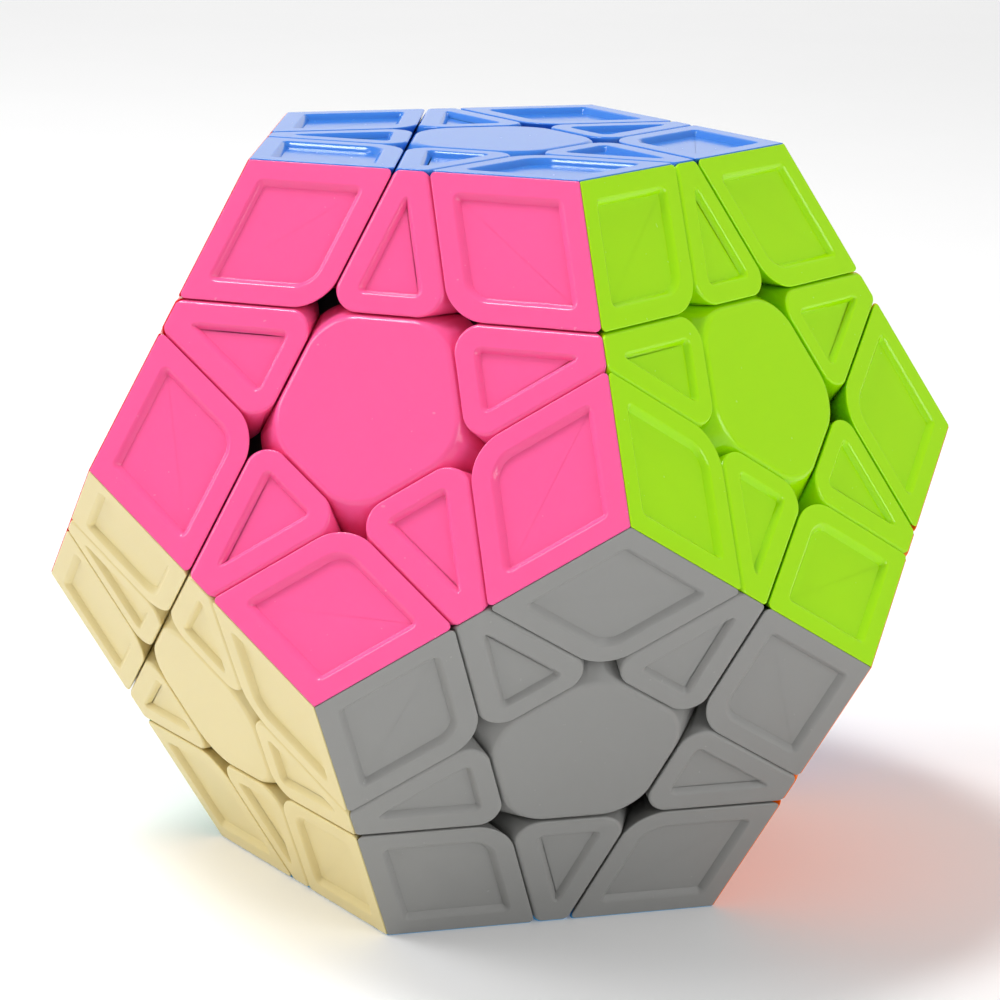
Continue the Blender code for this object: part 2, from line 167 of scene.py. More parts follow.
def started(name):
    """Name the primitive that was just added, and go into edit mode."""
    piece = bpy.context.active_object
    piece.name = name
    piece.data.name = name
    bpy.ops.object.mode_set(mode="EDIT")
    return piece


def block(name):
    """Start a piece as a large block, ready to be sliced."""
    leave_all()
    bpy.ops.mesh.primitive_cube_add(size=BLOCK_SIZE)
    return started(name)


# %% [markdown]
# ## Picking and slicing
# In edit mode an operator works on the selected faces, edges or corners. By hand they would be
# clicked, and here a test on their place or normal picks them. Slicing a block with planes is the
# safest way to make the wedges of this puzzle, because a sliced block is always closed.

# %% Picking parts and slicing
def choose(kind, wanted):
    """Select only the faces, edges or corners that a test accepts."""
    bpy.ops.mesh.select_mode(type=kind)
    bpy.ops.mesh.select_all(action="DESELECT")
    mesh = bmesh.from_edit_mesh(bpy.context.object.data)
    mesh.normal_update()
    parts = {"VERT": mesh.verts, "EDGE": mesh.edges, "FACE": mesh.faces}[kind]
    for part in filter(wanted, parts):
        part.select_set(True)
    mesh.select_flush_mode()
    bmesh.update_edit_mesh(bpy.context.object.data)


def slice_off(normal, distance, fill=True):
    """Cut away all that lies beyond a plane, and close the cut."""
    bpy.ops.mesh.select_all(action="SELECT")
    bpy.ops.mesh.bisect(plane_co=normal * distance, plane_no=normal, use_fill=fill,
                        clear_outer=True, threshold=FINE)


# %% [markdown]
# ## Rounds and draft
# A ridge between two walls can be rounded by a bevel. Where several walls meet in a small space a
# bevel tangles, and a few more slices that touch one cylinder are safer. The walls of a moulded
# piece also lean a little, so that it comes out of its mould, and that lean is called draft.

# %% Rounds and leaning walls
def between(one, other):
    """Test for the edges where faces with these two outward normals meet."""
    def meets(edge):
        if len(edge.link_faces) != 2:
            return False
        first, second = (face.normal for face in edge.link_faces)
        straight = first.dot(one) + second.dot(other)
        crossed = first.dot(other) + second.dot(one)
        return max(straight, crossed) > 2 - 1e-4
    return meets


def shared_point(one, one_distance, other, other_distance):
    """Point of the line where two planes meet."""
    cosine = one.dot(other)
    scale = 1 / (1 - cosine ** 2)
    return (one * (one_distance - cosine * other_distance) * scale
            + other * (other_distance - cosine * one_distance) * scale)


def round_slices(one, one_distance, other, other_distance, radius, facets):
    """Round the ridge between two planes with slices that all touch one cylinder."""
    middle = shared_point(one, one_distance - radius, other, other_distance - radius)
    for step in range(facets):
        lean = one.slerp(other, (step + 1) / (facets + 1))
        slice_off(lean, lean.dot(middle) + radius)


def drafted(wall, distance, inset=0):
    """Plane through a wall's top line, which leans out until it is tight to the cut below."""
    slope = math.atan((OPENING / 2 + inset - TIGHT) / DRAFT_DEPTH)
    lean = wall * math.cos(slope) + towards(wall, UP) * math.sin(slope)
    return lean, lean.dot(shared_point(wall, distance, UP, INRADIUS))


# %% [markdown]
# ## Shading and combining
# Smooth shading hides the facets of a round, and edges sharper than a set angle stay crisp.
# Weighted normals then follow the large faces, so a flat face looks flat right up to its rim. A
# Boolean adds or cuts with a second body. Corners that nearly touch upset it, and are merged first.

# %% Finishing and combining pieces
def finish(piece, angle=SMOOTH_ANGLE):
    """Smooth shading that stays flat on flat faces. The master itself is not rendered."""
    only(piece)
    bpy.ops.object.shade_smooth_by_angle(angle=math.radians(angle))
    bpy.ops.object.modifier_add(type="WEIGHTED_NORMAL")
    shading = piece.modifiers[-1]
    shading.keep_sharp = True
    shading.weight = 100
    bpy.ops.object.modifier_apply(modifier=shading.name)
    piece.hide_render = True
    corners = len(piece.data.vertices)
    print(f"{piece.name}: {corners} corners, {len(piece.data.polygons)} faces")
    return piece


def merge_close(piece):
    """Merge corners that lie within a few thousandths of a millimetre, which upset a Boolean."""
    only(piece)
    bpy.ops.object.mode_set(mode="EDIT")
    bpy.ops.mesh.select_all(action="SELECT")
    bpy.ops.mesh.remove_doubles(threshold=MERGE_DISTANCE)
    leave_all()


def combine(piece, operation, *tools):
    """Add tools to a piece or cut them out of it, and clear them away."""
    for tool in tools:
        merge_close(tool)
        merge_close(piece)
        only(piece)
        bpy.ops.object.modifier_add(type="BOOLEAN")
        joint = piece.modifiers[-1]
        joint.operation = operation
        joint.object = tool
        joint.solver = "EXACT"
        bpy.ops.object.modifier_apply(modifier=joint.name)
        bpy.data.objects.remove(tool, do_unlink=True)
    return piece


# %% [markdown]
# ## Rims
# A moulding has a soft rim where it meets a gap, and a tighter one where it meets the next colour.
# One Bevel modifier does both: each edge of the top outline carries a weight, and the weight grows
# from the seam round the end of the tile to the gap, so the soft rim fades instead of stopping.

# %% Weighted rims
RIM = 0.50 * MM                     # soft rim beside a gap
SEAM_RIM = 0.38 * MM                # rim beside the next colour
RIM_FADE = 1.1 * MM                 # distance over which one becomes the other
RIM_SEGMENTS = 4


def rim(piece, width, softness):
    """Bevel the outline of the top face, each edge as much as softness says of its middle."""
    only(piece)
    weights = piece.data.attributes.new("bevel_weight_edge", "FLOAT", "EDGE")
    points = piece.data.vertices
    for edge in piece.data.edges:
        ends = [points[number].co for number in edge.vertices]
        if all(abs(end.z - INRADIUS) < 10 * FINE for end in ends):
            weights.data[edge.index].value = softness((ends[0] + ends[1]) / 2)
    bpy.ops.object.modifier_add(type="BEVEL")
    bevel = piece.modifiers[-1]
    bevel.limit_method = "WEIGHT"
    bevel.width = width
    bevel.segments = RIM_SEGMENTS
    bevel.use_clamp_overlap = True
    bpy.ops.object.modifier_apply(modifier=bevel.name)


def seam_softness(seams):
    """Softness that is least at the seams and grows to one away from them."""
    def softness(place):
        away = min(-SEAM / 2 - seam.dot(place) for seam in seams)
        grown = min(max(away / RIM_FADE, 0), 1)
        return (SEAM_RIM + (RIM - SEAM_RIM) * grown) / RIM
    return softness


# %% [markdown]
# ## Sunken panels
# Each tile has a shallow panel with a raised frame round it. The frame is the same width all round,
# so the panel repeats the tile's outline, and its round corner has the same middle as the tile's.
# The tool for it is a flat outline that is extruded and then inset in small steps. Each inset goes
# deeper by more than the one before, so the wall starts as a soft rim and ends at a crisp foot.

# %% The tool that presses a panel into a tile
FRAME_WIDTH = 1.70 * MM
PANEL_DEPTH = 0.55 * MM
WALL_STEPS = 7
WALL_CURVE = 1.7                    # how much the wall steepens on its way down
SHEET_SIZE = 100 * MM
TOOL_LIFT = 0.003 * MM              # keeps the tool's rim off the tile's flat top
TOOL_HEIGHT = 0.5 * MM


def panel_tool(name, sides, rounding, wall_width):
    """Tool with a panel's sides. Each rounding picks a corner by its distance from the middle."""
    leave_all()
    bpy.ops.mesh.primitive_plane_add(size=SHEET_SIZE)
    tool = started(name)
    for outward, distance in sides:
        slice_off(outward, distance, fill=False)
    for nearer, farther, radius, segments in rounding:
        def inside(corner):
            return nearer <= corner.co.length <= farther and len(corner.link_edges) == 2
        mesh = bmesh.from_edit_mesh(tool.data)
        corner = next(filter(inside, mesh.verts))
        reach = radius * math.tan(corner.calc_edge_angle() / 2)
        choose("VERT", inside)
        bpy.ops.mesh.bevel(affect="VERTICES", offset=reach, offset_type="OFFSET",
                           segments=segments, profile=0.5, clamp_overlap=True)
    bpy.ops.mesh.select_all(action="SELECT")
    bpy.ops.transform.translate(value=(0, 0, INRADIUS + TOOL_LIFT + TOOL_HEIGHT))
    bpy.ops.mesh.extrude_region_move(TRANSFORM_OT_translate={"value": (0, 0, -TOOL_HEIGHT)})
    bpy.ops.mesh.select_all(action="SELECT")
    bpy.ops.mesh.normals_make_consistent(inside=False)
    choose("FACE", lambda face: face.normal.z < -0.9)
    depth = 0
    for step in range(1, WALL_STEPS + 1):
        share = step / WALL_STEPS
        deeper = (PANEL_DEPTH + TOOL_LIFT) * share ** WALL_CURVE
        bpy.ops.mesh.inset(thickness=wall_width / WALL_STEPS, depth=deeper - depth,
                           use_even_offset=True)
        depth = deeper
    leave_all()
    return tool


# %% [markdown]
# ## Corner moulding
# A corner piece is three mouldings of three colours that meet at seams. One is modelled: a block is
# sliced to its tile and its two walls, the ridge between the walls is bevelled round, and then the
# seams are sliced. The walls have a little draft, as moulded walls do, so the gap is open at the
# surface and nearly closed below. The tile's narrow ends are rounded by a few more slices.

# %% Corner moulding
NEIGHBOURS = [pointing(number * FIFTH, math.pi / 2 - TILT) for number in range(5)]
LEVEL = [pointing(number * FIFTH, 0) for number in range(5)]
SEAMS = [(neighbour - UP).normalized() for neighbour in NEIGHBOURS]
CORNER_ROUND = 4.5 * MM
CORNER_END_ROUND = 0.55 * MM
CORNER_TIP_ROUND = 0.20 * MM
CORNER_PANEL_TIP = CORNER_ROUND - FRAME_WIDTH
PANEL_WALL = 0.68 * MM              # how far a panel's wall leans in
PANEL_ROUND = 0.75 * MM
FOOT_TOP = 31.45 * MM
FACE_TO_CORNER = math.acos((1 + 2 * COS_TILT) / math.sqrt(3 + 6 * COS_TILT))


def corner_moulding():
    """One of a corner's three mouldings, between the cuts under its two neighbours."""
    piece = block("corner_moulding")
    walls = [drafted(-NEIGHBOURS[number], -OUTER_CUT) for number in (0, 1)]
    slice_off(UP, INRADIUS)
    for wall in walls:
        slice_off(*wall)
    turn = walls[0][0].angle(walls[1][0])
    choose("EDGE", between(walls[0][0], walls[1][0]))
    bpy.ops.mesh.bevel(affect="EDGES", offset=CORNER_ROUND * math.tan(turn / 2),
                       offset_type="OFFSET", segments=ROUND_SEGMENTS, profile=0.5)
    for number in (0, 1):
        slice_off(SEAMS[number], -SEAM / 2)
        slice_off(-NEIGHBOURS[number], -CUT - TIGHT)
    for number in (0, 1):
        round_slices(*walls[1 - number], SEAMS[number], -SEAM / 2, CORNER_END_ROUND, 4)
    round_slices(SEAMS[0], -SEAM / 2, SEAMS[1], -SEAM / 2, CORNER_TIP_ROUND, 2)
    axis = (UP + NEIGHBOURS[0] + NEIGHBOURS[1]).normalized()
    slice_off(-axis, -FOOT_TOP - SEAM)
    rim(piece, RIM, seam_softness(SEAMS[:2]))
    outline = []
    for outward in LEVEL[:2]:
        outline += [(outward, FACE_INRADIUS - FRAME_WIDTH), (-outward, -TILE_LOW - FRAME_WIDTH)]
    middle = (TILE_LOW + FRAME_WIDTH) / math.cos(FIFTH / 2)
    far = (FACE_INRADIUS - FRAME_WIDTH) / math.cos(FIFTH / 2)
    tool = panel_tool("corner_panel", outline,
                      [(middle - MM, middle + MM, CORNER_PANEL_TIP, 10),
                       (far - MM / 10, far + MM, PANEL_ROUND, 4),
                       (middle + 2 * MM, far - MM, PANEL_ROUND, 5)], PANEL_WALL)
    combine(piece, "DIFFERENCE", tool)
    return finish(piece)


CORNER_MOULDING = corner_moulding()

# %% [markdown]
# ## Edge moulding
# An edge piece has two mouldings. Its tile narrows towards the next face, so its panel is a
# triangle. Its two wide corners are rounded by slices, and a flat below sits on the foot.

# %% Edge moulding
EDGE_ROUND = 1.7 * MM
EDGE_END_ROUND = 0.35 * MM
EDGE_PANEL_WALL = 0.55 * MM
EDGE_PANEL_TIP = 0.56 * MM
EDGE_PANEL_ROUND = 0.75 * MM
SHELL_BOTTOM = 31.85 * MM


def edge_moulding():
    """One of an edge's two mouldings, between one outer cut and two inner ones."""
    piece = block("edge_moulding")
    wall = drafted(-NEIGHBOURS[0], -OUTER_CUT)
    flanks = [drafted(NEIGHBOURS[number], INNER_CUT) for number in (1, 4)]
    seam = (SEAMS[0], -SEAM / 2)
    axis = (UP + NEIGHBOURS[0]).normalized()
    for plane in ((UP, INRADIUS), wall, seam, *flanks, (-axis, -SHELL_BOTTOM),
                  (-NEIGHBOURS[0], -CUT - TIGHT), (NEIGHBOURS[1], CUT - TIGHT),
                  (NEIGHBOURS[4], CUT - TIGHT)):
        slice_off(*plane)
    for flank in flanks:
        round_slices(*wall, *flank, EDGE_ROUND, 9)
        round_slices(*flank, *seam, EDGE_END_ROUND, 3)
    rim(piece, RIM, seam_softness(SEAMS[:1]))
    flank = FACE_INRADIUS - TILE_DEPTH - GAP / 2 / SIN_TILT - FRAME_WIDTH
    low = TILE_LOW + FRAME_WIDTH
    tip = flank / math.cos(FIFTH)
    tool = panel_tool("edge_panel", [(-LEVEL[0], -low), (LEVEL[1], flank), (LEVEL[4], flank)],
                      [(tip - MM / 10, tip + MM / 10, EDGE_PANEL_TIP, 4),
                       (low, low + 3 * MM, EDGE_PANEL_ROUND, 6)], EDGE_PANEL_WALL)
    combine(piece, "DIFFERENCE", tool)
    return finish(piece)


EDGE_MOULDING = edge_moulding()

# %% [markdown]
# ## Centre: round bodies
# A centre is a cap, a base, a screw and a spring, and much of it is round. A round body could be
# spun from its profile. Here it is built ring by ring from a circle, each ring extruded to its
# height and then scaled to its radius, which leaves no seam to close.

# %% Round bodies
SIDES = 32


def turned(name, profile, sides=SIDES):
    """Body of rings at (radius, height), closed at both ends, or on itself if it is a tube."""
    leave_all()
    radius, height = profile[0]
    bpy.ops.mesh.primitive_circle_add(vertices=sides, radius=radius, location=(0, 0, 0))
    piece = started(name)
    bpy.ops.mesh.select_all(action="SELECT")
    bpy.ops.transform.translate(value=(0, 0, height))
    tube = profile[0] == profile[-1]
    if not tube:
        bpy.ops.mesh.edge_face_add()
    for next_radius, next_height in profile[1:]:
        bpy.ops.mesh.extrude_region_move(
            TRANSFORM_OT_translate={"value": (0, 0, next_height - height)})
        scale = next_radius / radius
        bpy.ops.transform.resize(value=(scale, scale, 1), center_override=(0, 0, next_height))
        radius, height = next_radius, next_height
    bpy.ops.mesh.select_all(action="SELECT")
    bpy.ops.mesh.remove_doubles(threshold=10 * FINE)
    bpy.ops.mesh.normals_make_consistent(inside=False)
    leave_all()
    return piece


# %% [markdown]
# ## Cap
# The cap is the plain rounded pentagon in the middle of a face. Its walls lean out as they go down,
# and its skirt hides the base. It is hollow, as moulded parts are, so that its top does not sink as
# it cools. A plug under the top fits into the stem of the base.

# %% Cap
CENTRE_ROUND = 5.0 * MM
CAP_RIM = 0.36 * MM
CAP_INSET = 0.08 * MM               # from the side of the cut
SKIRT = 0.90 * MM                   # wall of the cap that hides the base
CAP_BOTTOM = INRADIUS - 2.1 * MM
PLUG_RADIUS = 2.6 * MM
PLUG_LENGTH = 2.5 * MM
PLUG_LEAD = 0.4 * MM                # chamfer that leads the plug into the stem
BASE_TOP = CAP_BOTTOM - GAP


def pentagon_slab(name, low, high, inset, draft=False):
    """Slice of a centre between two heights, with its five corners rounded."""
    piece = block(name)
    walls = [(wall, INNER_CUT - inset) for wall in NEIGHBOURS]
    if draft:
        walls = [drafted(*wall, inset) for wall in walls]
    for plane in (*walls, (UP, high), (-UP, -low)):
        slice_off(*plane)
    pairs = [between(walls[number][0], walls[(number + 1) % 5][0]) for number in range(5)]
    choose("EDGE", lambda edge: any(test(edge) for test in pairs))
    bpy.ops.mesh.bevel(affect="EDGES", offset=(CENTRE_ROUND - inset) * math.tan(TILT / 2),
                       offset_type="OFFSET", segments=ROUND_SEGMENTS, profile=0.5)
    if draft:
        for wall in NEIGHBOURS:
            slice_off(wall, CUT - TIGHT)
    leave_all()
    return piece


def centre_cap():
    """Hollow cap with a skirt, and a plug that holds it in the base's stem."""
    piece = pentagon_slab("centre_cap", SHELL_BOTTOM, INRADIUS, CAP_INSET, draft=True)
    rim(piece, CAP_RIM, lambda place: 1)
    hollow = pentagon_slab("hollow", SHELL_BOTTOM - MM, CAP_BOTTOM, CAP_INSET + SKIRT)
    combine(piece, "DIFFERENCE", hollow)
    plug = turned("plug", [(PLUG_RADIUS - PLUG_LEAD, CAP_BOTTOM - PLUG_LENGTH),
                           (PLUG_RADIUS, CAP_BOTTOM - PLUG_LENGTH + PLUG_LEAD),
                           (PLUG_RADIUS, CAP_BOTTOM + MM)])
    combine(piece, "UNION", plug)
    return finish(piece)


CENTRE_CAP = centre_cap()

# %% [markdown]
# ## Base
# The base is a plate with a stem that reaches down to the spider. The stem is bored wide for the
# spring, and narrow through its floor for the screw, so the spring has a floor to push on. A plate,
# a stem and two bores are each simple, and Booleans put them together.

# %% Base with its bored stem
STEM_SLOPE = math.tan(TILT - math.radians(50.8))    # leaves the feet room beside the stem
STEM_BOTTOM = 18.1 * MM
FLOOR_TOP = 20.6 * MM
BORE_RADIUS = 3.0 * MM
SCREW_RADIUS = 1.2 * MM
HOLE_RADIUS = SCREW_RADIUS + 0.4 * MM


def centre_base():
    """Plate with a stem that is bored wide for the spring and narrow for the screw."""
    piece = pentagon_slab("centre_base", SHELL_BOTTOM, BASE_TOP, CAP_INSET + SKIRT + GAP)
    overlap = (SHELL_BOTTOM + BASE_TOP) / 2
    stem = turned("stem", [(STEM_SLOPE * STEM_BOTTOM, STEM_BOTTOM),
                           (STEM_SLOPE * overlap, overlap)])
    combine(piece, "UNION", stem)
    bore = turned("bore", [(BORE_RADIUS, FLOOR_TOP), (BORE_RADIUS, BASE_TOP + MM)])
    hole = turned("hole", [(HOLE_RADIUS, STEM_BOTTOM - MM), (HOLE_RADIUS, FLOOR_TOP + MM)])
    combine(piece, "DIFFERENCE", bore, hole)
    return finish(piece)


CENTRE_BASE = centre_base()

# %% [markdown]
# ## Screw
# The screw holds a centre down, and its layer turns on it. A real thread is one long helix. Rings
# look the same at this size and are always closed, so the thread is a stack of rings. Two slots
# that cross make the recess, each narrower at its bottom, as a driver's tip is.

# %% Screw with a crossed recess
HEAD_BOTTOM = 26.1 * MM
HEAD_TOP = 28.4 * MM
HEAD_RADIUS = 2.6 * MM
SCREW_END = 10.1 * MM
THREAD_PITCH = 0.5 * MM
THREAD_DEPTH = 0.18 * MM
TIP_RADIUS = 0.25 * MM
TIP_LENGTH = 1.1 * MM
RECESS_LENGTH = 2.8 * MM
RECESS_WIDTH = 0.62 * MM
RECESS_DEPTH = 1.3 * MM
RECESS_TAPER = 0.4


def centre_screw():
    """Screw with a ringed thread, a rounded head and two tapered slots across it."""
    root = SCREW_RADIUS - THREAD_DEPTH
    profile = [(TIP_RADIUS, SCREW_END), (root, SCREW_END + TIP_LENGTH)]
    height = SCREW_END + 1.2 * MM
    while height < FLOOR_TOP:
        profile += [(root, height), (SCREW_RADIUS, height + THREAD_PITCH / 2)]
        height += THREAD_PITCH
    profile += [(SCREW_RADIUS, HEAD_BOTTOM), (HEAD_RADIUS, HEAD_BOTTOM),
                (HEAD_RADIUS, HEAD_TOP - 0.9 * MM), (HEAD_RADIUS * 0.93, HEAD_TOP - 0.35 * MM),
                (HEAD_RADIUS * 0.78, HEAD_TOP)]
    piece = turned("centre_screw", profile, sides=24)
    for size in ((RECESS_LENGTH, RECESS_WIDTH), (RECESS_WIDTH, RECESS_LENGTH)):
        leave_all()
        bpy.ops.mesh.primitive_cube_add(size=1)
        slot = started("recess")
        bpy.ops.transform.resize(value=(*size, 2 * RECESS_DEPTH), center_override=(0, 0, 0))
        bpy.ops.transform.translate(value=(0, 0, HEAD_TOP))
        choose("FACE", lambda face: face.normal.z < -0.9)
        bpy.ops.transform.resize(value=(RECESS_TAPER, RECESS_TAPER, 1),
                                 center_override=(0, 0, HEAD_TOP - RECESS_DEPTH))
        combine(piece, "DIFFERENCE", only(slot))
    return finish(piece, angle=30)


CENTRE_SCREW = centre_screw()

# %% [markdown]
# ## Spring
# The spring lies between the floor of the stem and the head of the screw. It presses the layer on
# the spider, and gives a little when a turn is not quite in line. It is one round wire, so a small
# circle is swept up a helix by the Screw modifier, and its two ends are closed.

# %% Spring, one round wire swept up a screw line
WIRE_RADIUS = 0.25 * MM
COIL_RADIUS = 2.1 * MM
TURNS = 6
STEPS_PER_TURN = 28
WIRE_SIDES = 10


def spring():
    """Coil from the floor of the stem up to the head of the screw."""
    leave_all()
    bpy.ops.mesh.primitive_circle_add(vertices=WIRE_SIDES, radius=WIRE_RADIUS)
    piece = started("spring")
    bpy.ops.mesh.select_all(action="SELECT")
    bpy.ops.transform.rotate(value=math.pi / 2, orient_axis="X", center_override=(0, 0, 0))
    bpy.ops.transform.translate(value=(COIL_RADIUS, 0, FLOOR_TOP + WIRE_RADIUS + SEAM))
    only(piece)
    bpy.ops.object.modifier_add(type="SCREW")
    sweep = piece.modifiers[-1]
    sweep.axis = "Z"
    sweep.angle = 2 * math.pi
    sweep.iterations = TURNS
    sweep.screw_offset = (HEAD_BOTTOM - FLOOR_TOP - 2 * WIRE_RADIUS - 2 * SEAM) / TURNS
    sweep.steps = STEPS_PER_TURN
    sweep.render_steps = STEPS_PER_TURN
    bpy.ops.object.modifier_apply(modifier=sweep.name)
    bpy.ops.object.mode_set(mode="EDIT")
    bpy.ops.mesh.select_all(action="SELECT")
    bpy.ops.mesh.fill_holes(sides=0)
    bpy.ops.mesh.select_all(action="SELECT")
    bpy.ops.mesh.normals_make_consistent(inside=False)
    return finish(piece, angle=50)


SPRING = spring()

# %% [markdown]
# ## Core
# The core is a ball with twelve arms, one under each centre, bored for the screws. It is hidden
# behind the tiles, but it is what all the rest hangs on. The arms start inside the ball, clear of
# each other, and are added and bored one at a time.

# %% Spider
BALL_RADIUS = 9.0 * MM
ARM_RADIUS = 3.2 * MM
ARM_TOP = 17.7 * MM
ARM_CHAMFER = 0.3 * MM
ARM_ROOT = ARM_RADIUS / math.tan(TILT / 2) + GAP


def spider():
    """Ball with its arms. It is turned a little, so that none of its edges lies along an arm."""
    leave_all()
    bpy.ops.mesh.primitive_ico_sphere_add(subdivisions=4, radius=BALL_RADIUS)
    ball = started("spider")
    bpy.ops.mesh.select_all(action="SELECT")
    bpy.ops.transform.rotate(value=math.radians(11), orient_axis="X", center_override=(0, 0, 0))
    bpy.ops.transform.rotate(value=math.radians(17), orient_axis="Z", center_override=(0, 0, 0))
    leave_all()
    arms = []
    bores = []
    for colour in COLOURS:
        axis = NORMALS[colour]
        turn = axis.to_track_quat("Z", "Y").to_matrix().to_4x4()
        arm = turned("arm", [(ARM_RADIUS, ARM_ROOT), (ARM_RADIUS, ARM_TOP - ARM_CHAMFER),
                             (ARM_RADIUS - ARM_CHAMFER, ARM_TOP)], sides=24)
        arm.data.transform(turn)
        arms.append(arm)
        bore = turned("arm_bore", [(HOLE_RADIUS, SCREW_END - 0.4 * MM),
                                   (HOLE_RADIUS, ARM_TOP + MM)], sides=20)
        bore.data.transform(turn)
        bores.append(bore)
    combine(ball, "UNION", *arms)
    combine(ball, "DIFFERENCE", *bores)
    return finish(ball)


SPIDER = spider()

# %% [markdown]
# ## Feet
# Under its mouldings every corner and edge has a foot, which reaches in beneath the centres and
# keeps the piece from falling out. Its sides run to the middle of the puzzle, inside the cones that
# the layers turn in, and its top is part of a sphere. Slices that touch the sphere make the dome.

# %% Shape of a foot
FOOT_BOTTOM = 20.1 * MM
CONE_ANGLE = math.radians(50)
GAP_ANGLE = GAP / 2 / FOOT_BOTTOM
FOOT_CONE = CONE_ANGLE - GAP_ANGLE
FOOT_ROUND = 0.35 * MM
NECK_MARGIN = 0.1 * MM
DOME_STEP = math.radians(7)
DOME_RINGS = 3


def foot(name, tips):
    """Foot between the rays to its tips, domed above, and flat below."""
    piece = block(name)
    middle = sum(tips, Vector()).normalized()
    for first, second in zip(tips, tips[1:] + tips[:1]):
        outward = first.cross(second).normalized()
        if outward.dot(middle) > 0:
            outward = -outward
        slice_off(outward, 0)
    slice_off(-UP, -FOOT_BOTTOM * tips[0].z)
    slice_off(UP, FOOT_TOP)
    for ring in range(1, DOME_RINGS + 1):
        lean = DOME_STEP * ring
        count = 6 * ring
        for number in range(count):
            slice_off(pointing((number + 0.5) * 2 * math.pi / count, math.pi / 2 - lean), FOOT_TOP)
    only(piece)
    bpy.ops.object.modifier_add(type="BEVEL")
    bevel = piece.modifiers[-1]
    bevel.limit_method = "ANGLE"
    bevel.angle_limit = math.radians(35)
    bevel.width = FOOT_ROUND
    bevel.segments = 2
    bpy.ops.object.modifier_apply(modifier=bevel.name)
    return piece


# %% [markdown]
# ## The two kinds of foot
# A corner's foot has three sides and an edge's foot has four. Their tips are worked out from the
# cones, so that they reach as far as they can and never touch a turning layer. The edge's tiles sit
# higher above its foot, so a neck fills the space between.

# %% Corner foot and edge foot
def corner_foot():
    """Foot of three sides, whose tips just reach the three cones around the corner."""
    reach = math.hypot(math.cos(FACE_TO_CORNER), math.sin(FACE_TO_CORNER) / 2)
    lean = math.atan2(math.sin(FACE_TO_CORNER) / 2, math.cos(FACE_TO_CORNER))
    spread = math.acos(math.cos(FOOT_CONE) / reach) - lean
    tips = [pointing(number * 2 * math.pi / 3, math.pi / 2 - spread) for number in range(3)]
    return finish(foot("corner_foot", tips), angle=30)


def edge_foot():
    """Foot of four sides, with a neck that fills the space up to the two mouldings."""
    axis = (UP + NEIGHBOURS[0]).normalized()
    to_end = axis.angle(NEIGHBOURS[1])
    width = math.tan(to_end - CONE_ANGLE - GAP_ANGLE)
    cosine, sine = math.cos(TILT / 2), math.sin(TILT / 2)
    square = sine ** 2 - math.cos(FOOT_CONE) ** 2
    rest = cosine ** 2 - math.cos(FOOT_CONE) ** 2 * (1 + width ** 2)
    root = math.sqrt((cosine * sine) ** 2 - square * rest)
    reach = (cosine * sine - root) / square
    tips = [Vector((x * reach, y * width, 1)).normalized()
            for x, y in ((1, 1), (-1, 1), (-1, -1), (1, -1))]
    piece = foot("edge_foot", tips)
    low = FOOT_TOP - NECK_MARGIN
    half_across = (low * cosine - OUTER_CUT) / sine - NECK_MARGIN
    taper = math.atan(width)
    neck = block("neck")
    slice_off(UP, SHELL_BOTTOM - SEAM)
    slice_off(-UP, -low + 3 * MM)
    for side in (-1, 1):
        slice_off(Vector((side, 0, 0)), half_across)
        slice_off(Vector((0, side * math.cos(taper), -math.sin(taper))), -NECK_MARGIN)
    combine(piece, "UNION", only(neck))
    return finish(piece, angle=30)


CORNER_FOOT = corner_foot()
EDGE_FOOT = edge_foot()

# %% [markdown]
# ## A small language for materials
# A finish is a tree of nodes, and sums in it are Math nodes. A long row of them is hard to read, so
# a small class wraps a node's output, and + - and * on it add the Math nodes. What these sums make
# is then written as it would be on paper.

# %% Sums on the outputs of nodes
class Value:
    """An output of a node, on which + - and * add Math nodes."""

    def __init__(self, tree, socket):
        self.tree = tree
        self.socket = socket

    def maths(self, operation, first, second):
        node = self.tree.nodes.new("ShaderNodeMath")
        node.operation = operation
        for slot, value in zip(node.inputs, (first, second)):
            connect(self.tree, slot, value)
        return Value(self.tree, node.outputs[0])

    def __add__(self, other):
        return self.maths("ADD", self, other)

    def __sub__(self, other):
        return self.maths("SUBTRACT", self, other)

    def __rsub__(self, other):
        return self.maths("SUBTRACT", other, self)

    def __mul__(self, other):
        return self.maths("MULTIPLY", self, other)

    __radd__ = __add__
    __rmul__ = __mul__


def connect(tree, slot, value):
    """Link a value to a socket, or set the socket to a plain number or colour."""
    if isinstance(value, Value):
        tree.links.new(value.socket, slot)
    else:
        slot.default_value = value


# %% [markdown]
# ## Nodes of a finish
# Every other node comes from one method. It takes the node's type, its settings, and the values or
# links of its sockets. Colours are mixed by a Mix node, because a Math node would turn them grey.
# Noise reads Object coordinates, so a pattern has the same scale on every piece.

